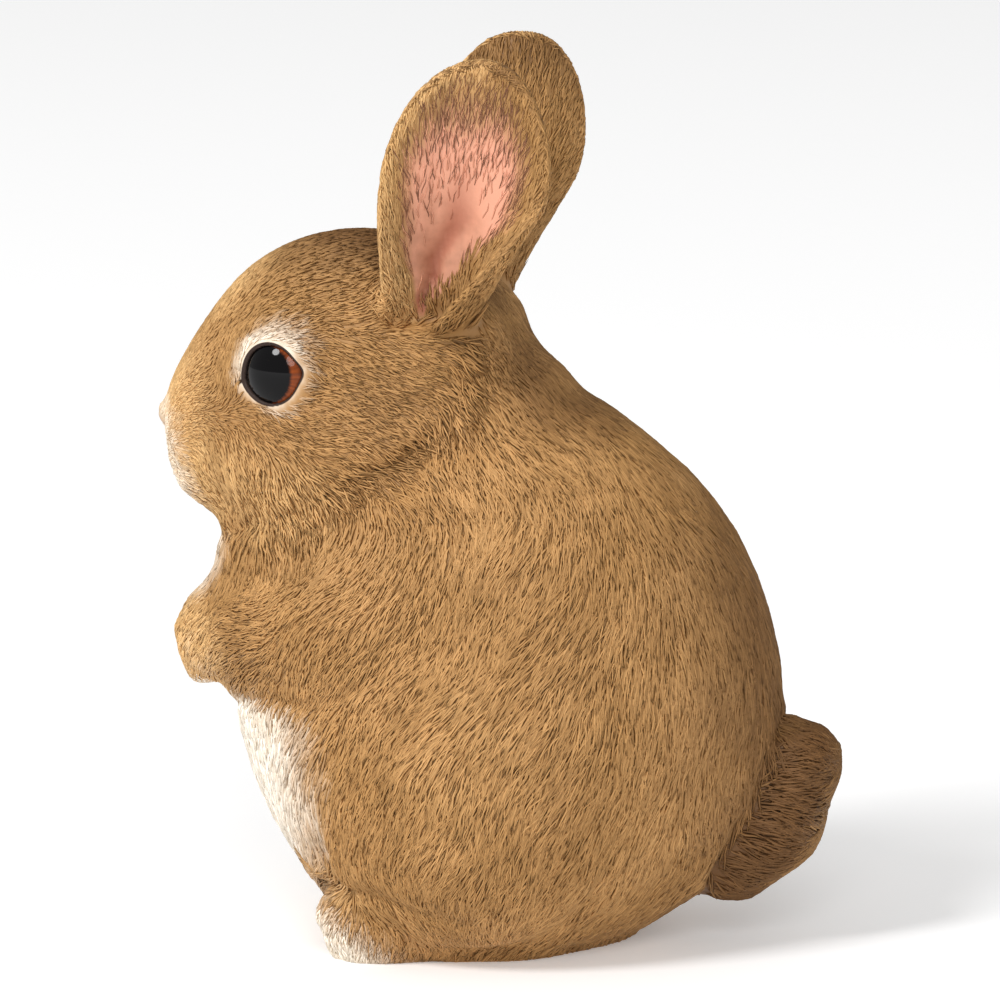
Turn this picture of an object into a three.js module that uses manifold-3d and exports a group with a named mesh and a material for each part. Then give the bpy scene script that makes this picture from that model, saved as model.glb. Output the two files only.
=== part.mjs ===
// A sitting young rabbit, about 145 mm tall: a cast resin ornament with two inset glass eyes.
// Millimetres, +Z up. The rabbit faces -Y, its left side is +X, and it sits on the plane z = 0.
//
// The figure is modelled whole, as one smooth blend of rounded masses, and is then parted into
// head, neck, trunk, tail, legs and feet by thin cuts. Each mass belongs to one of those parts.
// The ears are bent shells of their own, and the eyes and the nose are set into the head.

import * as THREE from "three";
import { LoftGeometry } from "three/addons/geometries/LoftGeometry.js";
import { mergeVertices } from "three/addons/utils/BufferGeometryUtils.js";
import Module from "manifold-3d";

const wasm = await Module();
wasm.setup();

// ---------------------------------------------------------------- driving dimensions

const PART_GAP = 0.3; // width of the thin cuts between neighbouring parts
const CUT_OVERRUN = 2; // how far a part's blank runs past its own cut before it is trimmed

// Trunk: a full egg-shaped belly and rump, with the back and chest rising from it.
const BELLY = { at: [0, 0, 38], size: [38.5, 44, 42] };
const BACK = { at: [0, 1, 61], size: [27, 26, 21] };
const CHEST = { at: [0, -25.6, 57], size: [24, 22.4, 22] };

// Neck: a short thick column leaning forward under the head.
const NECK = { at: [0, -10.1, 81], size: [20, 19, 22], pitch: 32 };

// Head: cranium, muzzle, cheeks, chin, whisker pads, the mound round each eye and the ear roots.
const CRANIUM = { at: [0, -24.5, 91], size: [22.8, 26.8, 23.6] };
const MUZZLE = { at: [0, -43, 82.5], size: [11, 13.8, 12] };
const CHEEK = { at: [12.5, -27, 79], size: [13.5, 17, 13] };
const CHIN = { at: [0, -44.9, 71.8], size: [7.5, 6.4, 6.2] };
const WHISKER_PAD = { at: [5.2, -49.1, 77.8], size: [6, 6, 6.2] };
const EYE_MOUND = { at: [17, -34, 94], size: [5, 8.6, 8.8] };
const EAR_ROOT = { at: [13, -8.5, 98], size: [8, 9, 7] };

// Eye: a domed glass lens, set with its short axis along the line of sight.
const EYE = { at: [20, -34.2, 94], size: [4.4, 6.1, 6.3], yaw: -20 };

// Nose: a small soft pad at the tip of the muzzle.
const NOSE = { at: [0, -55.2, 83.8], size: [3.6, 2.6, 3] };

// Foreleg: shoulder, elbow and a paw held against the chest.
const SHOULDER = { at: [21, -8, 62], radius: 14 };
const ELBOW = { at: [23, -22, 52], radius: 10.6 };
const WRIST = { at: [12.5, -39, 50.5], radius: 9 };
const PAW = { at: [8, -46.9, 49.2], size: [7.4, 7.4, 8.4] };

// Hind leg: a round thigh with the knee in front, and a long foot flat on the ground.
const THIGH = { at: [21.5, -3.5, 24.5], size: [19.5, 26, 23] };
const HEEL = { at: [17, 3, 4.5], radius: 6 };
const TOES = { at: [22.5, -18.6, 5.6], size: [8.5, 10, 7.4], yaw: 14 };

// Tail: a short blunt brush turned up close behind the rump, broader than it is deep.
const TAIL_ROOT = { at: [0, 37, 12], radius: 5.8 };
const TAIL_BACK = { at: [0, 42.8, 19.2], radius: 7.1 };
const TAIL_TIP = { at: [0, 47.4, 29.5], radius: 6.5 };
const TAIL_BREADTH = 1.5;

// Ears: each is a bent shell, a funnel at the root that opens and turns outwards to a shallow cup.
// Azimuths run from the -Y axis round to the side, in degrees. The middle of each ear is bowed
// back, to +Y, from the straight line between its root and its tip.
const EAR_SHELL = {
  thickness: 3.6,
  rootWrap: 135, // how far the shell wraps round either side of its spine, in degrees
  cupWrap: 60,
  rootFaces: 45,
  cupFaces: 82,
  openAt: 0.5, // shares of the height: where the funnel has opened out into the cup,
  widestAt: 0.52, // and where the cup is widest
  rootWidth: 0.82, // share of the widest
};
const LEFT_EAR = {
  root: [12.5, -7.1, 101], tip: [21, -1.4, 144.5], bow: 1, halfWidth: 16.8, ...EAR_SHELL,
};
const RIGHT_EAR = {
  root: [12.5, -6.8, 101], tip: [21, -2, 144.5], bow: 0.2, halfWidth: 15.2, ...EAR_SHELL,
};

// Regions that the parts are cut to. Each one crosses the surface steeply, so its seam is clean.
const TRUNK_REGION = 3; // grown from the trunk's own shape by this much
const FORELEG_REGION = 3; // and this much from the foreleg's
const THIGH_REGION = { at: [40, -3, 24], size: [38, 24, 22] };

// ---------------------------------------------------------------- rounded masses as distances

const rad = THREE.MathUtils.degToRad;
const clamp = THREE.MathUtils.clamp;
const lerp = THREE.MathUtils.lerp;
const point = (xyz) => new THREE.Vector3(...xyz);

// Distance to an ellipsoid, exact on its surface. Pitch turns it about X and yaw about Z.
function ellipsoid({ at, size, pitch = 0, yaw = 0 }) {
  const centre = point(at);
  const turn = new THREE.Quaternion().setFromEuler(new THREE.Euler(rad(pitch), 0, rad(yaw), "ZYX"));
  const unturn = turn.clone().invert();
  const [a, b, c] = size;
  const q = new THREE.Vector3();
  return (p) => {
    q.copy(p).sub(centre).applyQuaternion(unturn);
    const near = Math.hypot(q.x / a, q.y / b, q.z / c);
    const slope = Math.hypot(q.x / a ** 2, q.y / b ** 2, q.z / c ** 2);
    return slope < 1e-9 ? -Math.min(a, b, c) : (near * (near - 1)) / slope;
  };
}

// Distance to a limb segment that tapers from one round end to the other.
function limb(from, to) {
  const start = point(from.at);
  const along = point(to.at).sub(start);
  const q = new THREE.Vector3();
  return (p) => {
    q.copy(p).sub(start);
    const t = clamp(q.dot(along) / along.lengthSq(), 0, 1);
    return q.addScaledVector(along, -t).length() - lerp(from.radius, to.radius, t);
  };
}

// The two distances as one, with the crease between them filled to a radius of about `blend`.
function blendOf(d1, d2, blend) {
  const near = Math.max(blend - Math.abs(d1 - d2), 0) / blend;
  return Math.min(d1, d2) - (near * near * blend) / 4;
}

// A mass stretched sideways from the middle plane.
function broadened(mass, breadth) {
  const q = new THREE.Vector3();
  return (p) => mass(q.set(p.x / breadth, p.y, p.z));
}

// A pair of masses, left and right, from the left one.
function paired(mass) {
  const q = new THREE.Vector3();
  return (p) => mass(q.set(Math.abs(p.x), p.y, p.z));
}

// Joins masses one after the other: [mass, blend, mass, blend, mass ...].
function moulded(first, ...rest) {
  return (p) => {
    let d = first(p);
    for (let i = 0; i < rest.length; i += 2) d = blendOf(d, rest[i + 1](p), rest[i]);
    return d;
  };
}

// ---------------------------------------------------------------- the parts' own masses

const ownShape = {
  head: moulded(
    ellipsoid(CRANIUM),
    11, ellipsoid(MUZZLE),
    9, paired(ellipsoid(CHEEK)),
    7, ellipsoid(CHIN),
    3, paired(ellipsoid(WHISKER_PAD)),
    4, paired(ellipsoid(EYE_MOUND)),
    7, paired(ellipsoid(EAR_ROOT)),
  ),
  neck: ellipsoid(NECK),
  trunk: moulded(ellipsoid(BELLY), 22, ellipsoid(BACK), 14, ellipsoid(CHEST)),
  foreleg: moulded(limb(SHOULDER, ELBOW), 5, limb(ELBOW, WRIST), 4, ellipsoid(PAW)),
  hind_leg: ellipsoid(THIGH),
  hind_foot: moulded(limb(HEEL, { at: TOES.at, radius: 5.5 }), 4, ellipsoid(TOES)),
  tail: broadened(moulded(limb(TAIL_ROOT, TAIL_BACK), 3, limb(TAIL_BACK, TAIL_TIP)), TAIL_BREADTH),
};

// The whole rabbit, without its ears, eyes and nose.
const wholeRabbit = moulded(
  ownShape.trunk,
  10, paired(ownShape.hind_leg),
  18, ownShape.neck,
  4.5, paired(ownShape.foreleg),
  3, ownShape.head,
  2.5, paired(ownShape.hind_foot),
  5, ownShape.tail,
);

// ---------------------------------------------------------------- meshes and solids

// A geometry's shared vertices merged, so that it is one closed surface.
function closedSurface(geometry) {
  const bare = new THREE.BufferGeometry();
  bare.setAttribute("position", geometry.getAttribute("position"));
  bare.setIndex(geometry.index);
  return mergeVertices(bare, 1e-4);
}

function solidOf(geometry) {
  return new wasm.Manifold(new wasm.Mesh({
    numProp: 3,
    vertProperties: new Float32Array(geometry.getAttribute("position").array),
    triVerts: new Uint32Array(geometry.index.array),
  }));
}

function geometryOf(solid) {
  const { vertProperties, triVerts } = solid.getMesh();
  const geometry = new THREE.BufferGeometry();
  geometry.setAttribute("position", new THREE.BufferAttribute(vertProperties, 3));
  geometry.setIndex(new THREE.BufferAttribute(triVerts, 1));
  geometry.computeVertexNormals();
  return geometry;
}

function mirrored(solid) {
  const geometry = geometryOf(solid);
  geometry.scale(-1, 1, 1);
  const corners = geometry.index.array;
  for (let i = 0; i < corners.length; i += 3) {
    [corners[i], corners[i + 1]] = [corners[i + 1], corners[i]];
  }
  return solidOf(geometry);
}

// A ball grown outwards from the heart of a shape until each of its vertices meets the surface:
// each one steps out until it is past the surface, then halves the last step.
function wrapped(shape, heart, detail) {
  const step = 0.7;
  const halvings = 14;
  const ball = closedSurface(new THREE.IcosahedronGeometry(1, detail));
  const vertices = ball.getAttribute("position");
  const centre = point(heart);
  const ray = new THREE.Vector3();
  const p = new THREE.Vector3();
  const distanceAt = (t) => shape(p.copy(centre).addScaledVector(ray, t));
  for (let i = 0; i < vertices.count; i++) {
    ray.fromBufferAttribute(vertices, i).normalize();
    let inside = 0;
    let outside = 0;
    while (distanceAt(outside) < 0) {
      inside = outside;
      outside += step;
    }
    for (let n = 0; n < halvings; n++) {
      const middle = (inside + outside) / 2;
      if (distanceAt(middle) < 0) inside = middle;
      else outside = middle;
    }
    vertices.setXYZ(i, ...p.copy(centre).addScaledVector(ray, inside).toArray());
  }
  return solidOf(ball);
}

// The stock of one part: the whole rabbit's surface near the part, trimmed to the part's region,
// which is its own shape grown by a margin. `region` is kept for cutting the neighbours.
function stockOf(shape, { heart, detail, regionDetail = 2, margin = 0 }) {
  const region = (grow) => (p) => shape(p) - margin - grow;
  const blank = wrapped(
    (p) => Math.max(wholeRabbit(p), region(CUT_OVERRUN)(p)), heart, detail);
  return {
    stock: blank.intersect(wrapped(region(0), heart, regionDetail)),
    socket: wrapped(region(PART_GAP), heart, regionDetail),
  };
}

// ---------------------------------------------------------------- ears, eyes and nose

// One ring round an ear at height h, from 0 at the root to 1 at the tip. The ring follows the
// curved shell, or, for the space that the ear takes up, the shell's back and the mouth of its cup.
function earRing(ear, h, corners, filled, grow) {
  const open = Math.min(h / ear.openAt, 1) ** 0.8;
  const azimuth = rad(lerp(ear.rootFaces, ear.cupFaces, open));
  const opening = new THREE.Vector3(Math.sin(azimuth), -Math.cos(azimuth), 0);
  const rearwards = new THREE.Vector3(-opening.y, opening.x, 0);
  const spine = point(ear.root).lerp(point(ear.tip), h);
  spine.y += ear.bow * Math.sin(h * Math.PI);
  const above = Math.max(h - ear.widestAt, 0) / (1 - ear.widestAt);
  const below = Math.max(ear.widestAt - h, 0) / ear.widestAt;
  const width = ear.halfWidth * Math.sqrt(Math.max(1 - above ** 2, 0.001))
    * (1 - (1 - ear.rootWidth) * below ** 2);
  const wrap = rad(lerp(ear.rootWrap, ear.cupWrap, open));
  const radius = width / wrap;
  const half = Math.min(ear.thickness / 2, width / 2) + grow;
  const ring = [];
  for (let i = 0; i < corners; i++) {
    const turn = (i / corners) * 2 * Math.PI;
    const across = Math.sin(turn) * (1 + grow / width);
    const face = Math.sign(Math.cos(turn)) * Math.abs(Math.cos(turn)) ** 0.6 * half;
    const angle = across * wrap;
    const mouth = filled && face > 0;
    const depth = mouth
      ? radius * (1 - Math.cos(wrap)) + face
      : radius * (1 - Math.cos(angle)) + face * Math.cos(angle);
    const behind = mouth ? radius * Math.sin(wrap) * across : (radius - face) * Math.sin(angle);
    ring.push(spine.clone().addScaledVector(opening, depth).addScaledVector(rearwards, behind));
  }
  return ring;
}

function earShell(ear, { filled = false, grow = 0 } = {}) {
  const rings = 13;
  const corners = 16;
  const sections = [];
  for (let i = 0; i <= rings; i++) {
    sections.push(earRing(ear, Math.sin((i / rings) * (Math.PI / 2)), corners, filled, grow));
  }
  return solidOf(closedSurface(new LoftGeometry(sections, { capStart: true, capEnd: true })));
}

// An ellipsoid as a ball stretched to its size.
function bead({ at, size, yaw = 0 }, grow, around, along) {
  const ball = new THREE.SphereGeometry(1, around, along);
  ball.scale(...size.map((s) => s + grow));
  ball.rotateZ(rad(yaw));
  ball.translate(...at);
  return solidOf(closedSurface(ball));
}

// ---------------------------------------------------------------- parting the figure

const floorCut = new THREE.BoxGeometry(400, 400, 100);
floorCut.translate(0, 0, -50);
const belowGround = solidOf(closedSurface(floorCut));

const head = stockOf(ownShape.head,
  { heart: [0, -30, 88], detail: 7, regionDetail: 3, margin: 2.4 });
const foreleg = stockOf((p) => Math.max(ownShape.foreleg(p), FORELEG_REGION + PART_GAP / 2 - p.x),
  { heart: [17, -33, 50.5], detail: 4, margin: FORELEG_REGION });
const hindFoot = stockOf(ownShape.hind_foot,
  { heart: [23, -9, 6], detail: 3, margin: 1.6 });
const hindLeg = stockOf(ellipsoid(THIGH_REGION),
  { heart: [28, -3, 24], detail: 4 });
const tail = stockOf(ownShape.tail,
  { heart: [0, 43, 21], detail: 3, margin: 2.2 });
const neck = stockOf(ownShape.neck,
  { heart: [0, -12, 84], detail: 4, margin: 3.5 });
const trunkStock = wrapped(
  (p) => Math.max(wholeRabbit(p), ownShape.trunk(p) - TRUNK_REGION), [0, -2, 46], 6);

const eyeHole = bead(EYE, PART_GAP, 12, 8);
const noseHole = bead(NOSE, PART_GAP, 10, 6);
const both = (solid) => solid.add(mirrored(solid));

const solids = {};
const pair = (name, solid) => {
  solids[`${name}_left`] = solid;
  solids[`${name}_right`] = mirrored(solid);
};

solids.head = head.stock
  .subtract(both(eyeHole)).subtract(noseHole)
  .subtract(earShell(LEFT_EAR, { filled: true, grow: PART_GAP }))
  .subtract(mirrored(earShell(RIGHT_EAR, { filled: true, grow: PART_GAP })));
solids.ear_left = earShell(LEFT_EAR);
solids.ear_right = mirrored(earShell(RIGHT_EAR));
pair("eye", bead(EYE, 0, 12, 8));
solids.nose = bead(NOSE, 0, 10, 6);
pair("foreleg", foreleg.stock.subtract(head.socket));
pair("hind_foot", hindFoot.stock.subtract(belowGround));
pair("hind_leg", hindLeg.stock
  .subtract(foreleg.socket).subtract(hindFoot.socket).subtract(belowGround));
solids.tail = tail.stock.subtract(both(hindLeg.socket));
solids.neck = neck.stock.subtract(head.socket).subtract(both(foreleg.socket));
solids.trunk = trunkStock
  .subtract(head.socket).subtract(neck.socket).subtract(tail.socket)
  .subtract(both(foreleg.socket)).subtract(both(hindLeg.socket))
  .subtract(both(hindFoot.socket)).subtract(belowGround);

// ---------------------------------------------------------------- colours and assembly

const fur = { color: 0xaa7e4e, roughness: 0.62, metalness: 0 };
const FINISH = {
  trunk: fur, neck: fur, head: fur,
  foreleg: { ...fur, color: 0xcca671 },
  hind_leg: fur,
  hind_foot: { ...fur, color: 0xc9a77c },
  tail: { ...fur, color: 0x775634 },
  ear: { ...fur, color: 0xbc9068 },
  eye: { color: 0x100806, roughness: 0.05, metalness: 0 },
  nose: { ...fur, color: 0xb08a78 },
};

const rabbit = new THREE.Group();
for (const [name, solid] of Object.entries(solids)) {
  const finish = FINISH[name.replace(/_(left|right)$/, "")];
  const mesh = new THREE.Mesh(geometryOf(solid), new THREE.MeshStandardMaterial(finish));
  mesh.name = name;
  rabbit.add(mesh);
}

// The reference point is the middle of the base.
const bounds = new THREE.Box3().setFromObject(rabbit);
const middle = bounds.getCenter(new THREE.Vector3());
rabbit.position.set(-middle.x, -middle.y, -bounds.min.z);

export default rabbit;
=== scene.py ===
import math

import bmesh
import bpy
import numpy as np
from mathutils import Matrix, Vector
from mathutils.bvhtree import BVHTree


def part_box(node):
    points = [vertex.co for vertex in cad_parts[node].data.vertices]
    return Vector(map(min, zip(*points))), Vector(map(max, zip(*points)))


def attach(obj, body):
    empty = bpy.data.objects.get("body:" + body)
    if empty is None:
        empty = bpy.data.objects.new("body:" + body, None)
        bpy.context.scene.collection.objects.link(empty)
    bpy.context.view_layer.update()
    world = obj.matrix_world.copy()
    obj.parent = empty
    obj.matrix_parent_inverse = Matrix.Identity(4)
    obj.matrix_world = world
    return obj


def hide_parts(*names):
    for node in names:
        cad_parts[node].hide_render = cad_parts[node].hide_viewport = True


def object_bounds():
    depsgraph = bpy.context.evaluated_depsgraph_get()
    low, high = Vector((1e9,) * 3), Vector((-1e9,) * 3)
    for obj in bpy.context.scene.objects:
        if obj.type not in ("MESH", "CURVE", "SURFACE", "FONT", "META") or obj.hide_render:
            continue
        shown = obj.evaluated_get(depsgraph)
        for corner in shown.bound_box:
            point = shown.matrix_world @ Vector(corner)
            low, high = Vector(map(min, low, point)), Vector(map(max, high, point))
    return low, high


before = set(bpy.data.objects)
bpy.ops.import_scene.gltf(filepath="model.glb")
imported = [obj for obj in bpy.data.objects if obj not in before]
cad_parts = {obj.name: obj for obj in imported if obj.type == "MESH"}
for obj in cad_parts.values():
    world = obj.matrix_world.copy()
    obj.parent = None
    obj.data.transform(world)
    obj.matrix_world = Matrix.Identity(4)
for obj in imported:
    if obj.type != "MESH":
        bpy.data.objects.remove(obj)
cad_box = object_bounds()

# ---------------------------------------------------------------- the casting
# The figure is one hollow casting in resin, and its skin runs under the carved coat. The solids
# are swollen until they close over the thin cuts between them, melted into one surface and
# smoothed. Creases, lids, mouth and toes are worked into that surface, and it is painted last.

MM = 0.001
SWELL = 0.3  # enough to close the thin cuts, in millimetres as all sizes here are
VOXEL = 0.8

joined = bmesh.new()
solid_points, solid_faces, solid_owner = [], [], []
for name in sorted(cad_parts):
    part = bmesh.new()
    part.from_mesh(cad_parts[name].data)
    bmesh.ops.remove_doubles(part, verts=part.verts, dist=0.01 * MM)
    bmesh.ops.triangulate(part, faces=part.faces)
    part.normal_update()
    first = len(solid_points)
    solid_points += [v.co.copy() for v in part.verts]
    solid_faces += [[first + v.index for v in f.verts] for f in part.faces]
    solid_owner += [name] * len(part.faces)
    for v in part.verts:
        v.co += v.normal * SWELL * MM
    swollen = bpy.data.meshes.new(name + "_swollen")
    part.to_mesh(swollen)
    part.free()
    joined.from_mesh(swollen)
    bpy.data.meshes.remove(swollen)
solids = BVHTree.FromPolygons(solid_points, solid_faces)

skin = bpy.data.meshes.new("casting_rough")
joined.to_mesh(skin)
joined.free()
casting = bpy.data.objects.new("casting", skin)
bpy.context.scene.collection.objects.link(casting)
remesh = casting.modifiers.new("melt", "REMESH")
remesh.mode = "VOXEL"
remesh.voxel_size = VOXEL * MM
bpy.context.view_layer.update()
melted = bpy.data.meshes.new_from_object(
    casting.evaluated_get(bpy.context.evaluated_depsgraph_get()))
casting.modifiers.clear()

# Only the outer surface is kept: the pockets left inside where solids met are dropped.
whole = bmesh.new()
whole.from_mesh(melted)
whole.verts.ensure_lookup_table()
front = [max(whole.verts, key=lambda v: v.co.z)]
outer = set(front)
while front:
    v = front.pop()
    for e in v.link_edges:
        w = e.other_vert(v)
        if w not in outer:
            outer.add(w)
            front.append(w)
bmesh.ops.delete(whole, geom=[v for v in whole.verts if v not in outer], context="VERTS")


def node_centre(name):
    low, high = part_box(name)
    return np.array((low + high) / 2) / MM


def reach(places, at, size):
    """How far places are from a middle, counted in a size for each direction."""
    return np.linalg.norm((places - at) / size, axis=1)


eye_centre = node_centre("eye_left")
nose_centre = node_centre("nose")
EYE_TURN = math.radians(20)  # each eye looks this much forward of straight out to its side


def eye_ways(side):
    """The eye's own ways back and outward."""
    return (np.array((side * math.sin(EYE_TURN), math.cos(EYE_TURN), 0)),
            np.array((side * math.cos(EYE_TURN), -math.sin(EYE_TURN), 0)))


def eye_plane(points, side):
    """Back, up and outward distances from an eye's centre, in the eye's own turned frame."""
    back, outward = eye_ways(side)
    from_eye = points - eye_centre * (side, 1, 1)
    return from_eye @ back, from_eye[:, 2], from_eye @ outward


# The lids, nose and mouth need finer faces than the body.
points = np.array([v.co for v in whole.verts]) / MM
fine = reach(points - nose_centre, (0, 3, -4), (9, 8, 9)) < 1
for side in (1, -1):
    back, up, outward = eye_plane(points, side)
    fine |= (np.hypot(back, up) < 9.5) & (outward > -3)
chosen = [e for e in whole.edges if fine[e.verts[0].index] and fine[e.verts[1].index]]
bmesh.ops.subdivide_edges(whole, edges=chosen, cuts=3, use_grid_fill=True)
bmesh.ops.triangulate(whole, faces=[f for f in whole.faces if len(f.verts) > 4])
whole.to_mesh(skin)
whole.free()


def read(items, what, width, kind=np.float32):
    """A mesh's numbers as rows."""
    values = np.zeros(len(items) * width, kind)
    items.foreach_get(what, values)
    return values.reshape(-1, width)


points = read(skin.vertices, "co", 3).astype(float) / MM
edges = read(skin.edges, "vertices", 2, np.int32)
owner = np.array([solid_owner[solids.find_nearest(Vector(p * MM))[2]] for p in points])
is_ear = np.char.startswith(owner, "ear")
is_head = np.char.startswith(owner, "head") | (owner == "nose") | np.char.startswith(owner, "eye")
is_foot = np.char.startswith(owner, "hind_foot")
is_arm = np.char.startswith(owner, "foreleg")
is_tail = owner == "tail"


def surface_normals(points):
    """Moves the skin's points, and gives the way out at each."""
    skin.vertices.foreach_set("co", (points * MM).astype(np.float32).ravel())
    skin.update()
    return read(skin.vertex_normals, "vector", 3).astype(float)


def smoothed(points, rounds, share=1.0, back=0.52):
    """Points drawn towards the middle of their neighbours, and back out to keep the volume."""
    links = np.bincount(edges.ravel(), minlength=len(points))[:, None].clip(1)
    share = np.reshape(share, (-1, 1))
    for _ in range(rounds):
        for pull in (0.5, -back):
            total = np.zeros_like(points)
            for k in range(points.shape[1]):
                total[:, k] = (
                    np.bincount(edges[:, 0], points[edges[:, 1], k], len(points))
                    + np.bincount(edges[:, 1], points[edges[:, 0], k], len(points)))
            points = points + pull * share * (total / links - points)
    return points


def evened(values, rounds, back=0):
    """Numbers on the surface, evened out with those round them."""
    return smoothed(values[:, None] * 1.0, rounds, back=back)[:, 0]


def rise(x, low, high):
    """0 below low, 1 above high, and a smooth climb between them."""
    t = np.clip((x - low) / (high - low), 0, 1)
    return t * t * (3 - 2 * t)


points = smoothed(points, 38, np.where(is_ear | is_foot, 0.25, 1.0))
nose_reach = reach(points - nose_centre, (0, 1, 0), (6, 6, 6))
points = smoothed(points, 40, 1 - rise(nose_reach, 0.5, 1), back=0.3)

# -- the ears
# Each ear is an upright leaf of resin, furred on its back and round its rim, with a smooth cup
# open to the side. The rim is narrow in front, broader behind, and closes under the cup.


def ear_outline(name):
    """An ear's front and back edges at levels from its root to its tip."""
    p = np.array([v.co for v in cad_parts[name].data.vertices]) / MM
    levels = np.linspace(p[:, 2].min() + 1, p[:, 2].max() - 0.5, 14)
    near = [p[np.abs(p[:, 2] - level) < 3.5] for level in levels]
    return levels, [n[:, 1].min() for n in near], [n[:, 1].max() for n in near]


# Height runs from 0 at an ear's root to 1 at its tip, and breadth from -1 at its front edge to 1
# at its back edge.
height, breadth = np.zeros(len(points)), np.zeros(len(points))
for side, name in ((1, "ear_left"), (-1, "ear_right")):
    levels, front_edge, back_edge = ear_outline(name)
    mine = points[:, 0] * side > 0
    level = points[mine, 2]
    front, rear = np.interp(level, levels, front_edge), np.interp(level, levels, back_edge)
    height[mine] = (level - levels[0]) / (levels[-1] - levels[0])
    breadth[mine] = (2 * points[mine, 1] - front - rear) / (rear - front)

normals = surface_normals(points)
faces_out = normals[:, 0] * np.sign(points[:, 0]) * 0.97 - normals[:, 1] * 0.2
rim_heights = (0.0, 0.05, 0.15, 0.28, 0.42, 0.6, 0.8, 0.9)
cup_front = np.interp(height, rim_heights, (-0.34, -0.42, -0.58, -0.74, -0.8, -0.82, -0.76, -0.55))
cup_rear = np.interp(height, rim_heights, (-0.2, -0.1, 0.2, 0.54, 0.7, 0.78, 0.7, 0.5))
cup = is_ear * rise(faces_out, -0.1, 0.2) * (1 - rise(height, 0.87, 0.94)) \
    * rise(breadth - cup_front, 0, 0.14) * rise(cup_rear - breadth, 0, 0.14)

# -- the bed of the coat
# The skin lies under the coat by the coat's own depth: deepest on the body, shallow on the face
# and in the cups, and nothing on lids and nose.

BODY_DEPTH, HEAD_DEPTH, EAR_DEPTH, FOOT_DEPTH, CUP_DEPTH = 0.44, 0.36, 0.36, 0.4, 0.12
LID_RADIUS = 4.75


def lid_share(back, up):
    """1 on the edge of the lids: an opening nearly round, drawn to a corner at back and front."""
    angle = np.arctan2(up, back)
    corner = 0.55 * np.exp(-((angle - 0.12) / 0.33) ** 2)
    from_tear = (angle + 2.85 + math.pi) % (2 * math.pi) - math.pi
    tear = 0.5 * np.exp(-((from_tear / 0.3) ** 2))
    return np.hypot(back, up * 1.02) / (LID_RADIUS + corner + tear)


depth = np.full(len(points), BODY_DEPTH)
depth[is_head] = HEAD_DEPTH
depth[is_ear] = EAR_DEPTH
depth[is_foot] = FOOT_DEPTH
depth[cup > 0.3] = CUP_DEPTH
depth *= 0.6 + 0.4 * rise(np.linalg.norm(points - nose_centre, axis=1), 4, 22)
nose_pad = reach(points - nose_centre, (0, -1, -1.5), (2.7, 3.4, 1.8))
bare = 1 - rise(nose_pad, 0.8, 1.15)
for side in (1, -1):
    back, up, outward = eye_plane(points, side)
    bare = np.maximum(bare, (outward > -3) * (1 - rise(lid_share(back, up), 1.06, 1.16)))
depth *= 1 - rise(bare, 0, 0.6) * 0.9
depth = evened(depth, 6, back=0.52).clip(0.05, 1)

# Melting and smoothing drew the surface in here and there: it is set back to the coat's depth
# under the solids' own surface, evened out so that the facets don't show.
closest = np.array([solids.find_nearest(Vector(p * MM))[0] for p in points]) / MM
proud = evened(((points - closest) * normals).sum(1).clip(-2.5, 2.5), 14)
edge_on = is_ear * (1 - rise(np.abs(faces_out), 0.1, 0.6))
sunk = points - normals * (proud + depth * (1 - 0.7 * edge_on))[:, None]
sunk[:, 2] = np.where(points[:, 2] < 0.9, points[:, 2], sunk[:, 2])
points = smoothed(sunk, 10, is_ear * 0.5)

# -- the modelling
# The nape, the ears' roots, the soles' edges and the nose are rounded over. Chest and belly draw
# in under the chin and the tucked paws, which are level underneath, and the nose stands out over
# a notch above the lip.


def zone(places, at, size, inner=0.2):
    """1 in the inner share of a place and 0 past its edge."""
    return 1 - rise(reach(places, at, size), inner, 1)


def left_half(places):
    """The same places, all brought over to the figure's left side."""
    return np.c_[np.abs(places[:, 0]), places[:, 1:]]


points = smoothed(points, 60, zone(points, (0, 12, 93), (30, 18, 17), 0.6) * ~is_ear, back=0.1)
points = smoothed(points, 14, zone(left_half(points), (20, -2, 101), (13, 15, 6), 0.6), back=0.1)
off_floor = points[:, 2] > 1
points = smoothed(
    points, 40, zone(left_half(points), (33, 3, 4), (14, 20, 7), 0.6) * off_floor, back=0.1)
points = smoothed(points, 20, 1 - rise(nose_reach, 0.4, 1), back=0.1)
points[:, 1] += 4.4 * zone(points, (0, -46, 38), (16, 12, 7.5)) \
    + 2.0 * zone(points, (0, -49, 67), (16, 8, 6))
points[:, 2] += 2.9 * ((points[:, 1] + 46) / 5).clip(-1, 1) \
    * zone(points, (0, -46, 42), (20, 10, 7), 0.35)
points[:, 1] += 0.45 * zone(points, (0, -56, 80.4), (5, 5, 1.5), 0.1) \
    - 0.7 * zone(points, (0, -57, 85), (5.5, 5, 4.2), 0.1)

# -- the creases
# The carver parted the forms with creases: round the front of each foot, at the tail's root, under
# the jaw and forearms, under the ruff of fur on each cheek, and back along each instep.


def border(mask, width):
    """1 on the seam round some of the skin, fading away to both sides of it."""
    spread = evened(mask, width)
    return (4 * spread * (1 - spread)) ** 2


def along_course(places, stops, squash):
    """Each leg of a line in turn: how far along the line places are, and the gap to them."""
    for n, (start, end) in enumerate(zip(stops[:-1], stops[1:])):
        run = end - start
        t = ((places - start) @ run / (run @ run)).clip(0, 1)
        gap = places - start - t[:, None] * run
        yield n + t, gap, np.linalg.norm(gap * squash, axis=1)


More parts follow.
